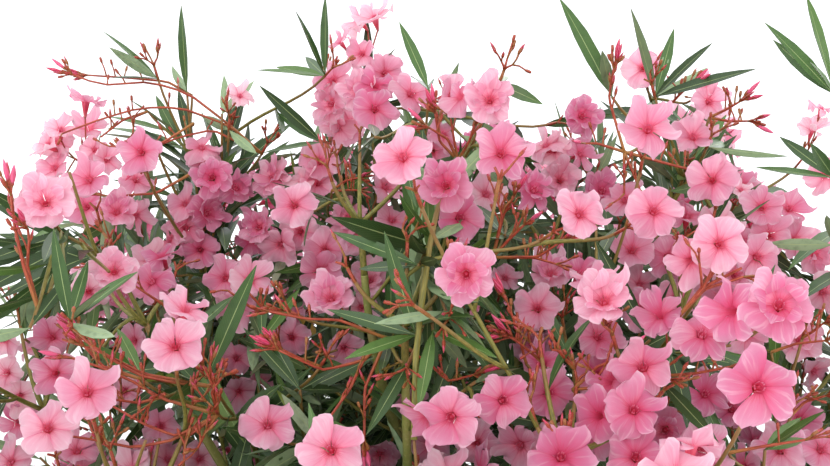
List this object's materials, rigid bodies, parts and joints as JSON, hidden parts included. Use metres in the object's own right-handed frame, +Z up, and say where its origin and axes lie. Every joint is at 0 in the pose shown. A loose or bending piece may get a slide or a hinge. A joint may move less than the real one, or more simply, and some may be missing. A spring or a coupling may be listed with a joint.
{
  "type": "potted oleander",
  "caption": "Oleander bush with pink trumpet flowers and lance-shaped leaves on leaning canes, growing in a round clay pot that stands on its flat underside.",
  "frame": {"origin": "the middle of the pot's flat underside", "axes": "+Z up along the pot's axis, and the bush is seen from the front along +Y, with +X to the right"},
  "size_m": [1.2942, 1.2821, 1.5351],
  "materials": {
    "clay": "matt fired clay",
    "soil": "loose potting soil",
    "bark": "grey brown bark with pale pores",
    "green_bark": "smooth olive green bark",
    "leaf": "leathery, satin",
    "petal": "soft matt petal",
    "stalk": "smooth brick red stalk",
    "bud": "satin crimson bud"
  },
  "bodies": {
    "root": {"pot": "clay", "soil": "soil", "cane_1": "bark", "cane_2": "bark", "cane_3": "bark", "cane_4": "bark", "cane_5": "bark", "cane_6": "bark", "cane_7": "bark", "bough_top_1": "green_bark", "bough_top_2": "green_bark", "bough_top_3": "green_bark", "bough_shoulder_1": "green_bark", "bough_shoulder_2": "green_bark", "bough_shoulder_3": "green_bark", "bough_shoulder_4": "green_bark", "bough_shoulder_5": "green_bark", "bough_shoulder_6": "green_bark", "bough_shoulder_7": "green_bark", "bough_waist_1": "green_bark", "bough_waist_2": "green_bark", "bough_waist_3": "green_bark", "bough_waist_4": "green_bark", "bough_waist_5": "green_bark", "bough_waist_6": "green_bark", "bough_waist_7": "green_bark", "bough_skirt_1": "green_bark", "bough_skirt_2": "green_bark", "bough_skirt_3": "green_bark", "bough_skirt_4": "green_bark", "bough_skirt_5": "green_bark", "bough_skirt_6": "green_bark", "bough_skirt_7": "green_bark", "mass_top_1": "petal", "mass_top_2": "petal", "mass_top_3": "petal", "mass_shoulder_1": "petal", "mass_shoulder_2": "petal", "mass_shoulder_3": "petal", "mass_shoulder_4": "petal", "mass_shoulder_5": "petal", "mass_shoulder_6": "petal", "mass_shoulder_7": "petal", "mass_waist_1": "leaf", "mass_waist_2": "leaf", "mass_waist_3": "leaf", "mass_waist_4": "leaf", "mass_waist_5": "leaf", "mass_waist_6": "leaf", "mass_waist_7": "leaf", "mass_skirt_1": "leaf", "mass_skirt_2": "leaf", "mass_skirt_3": "leaf", "mass_skirt_4": "leaf", "mass_skirt_5": "leaf", "mass_skirt_6": "leaf", "mass_skirt_7": "leaf"}
  },
  "joints": []
}
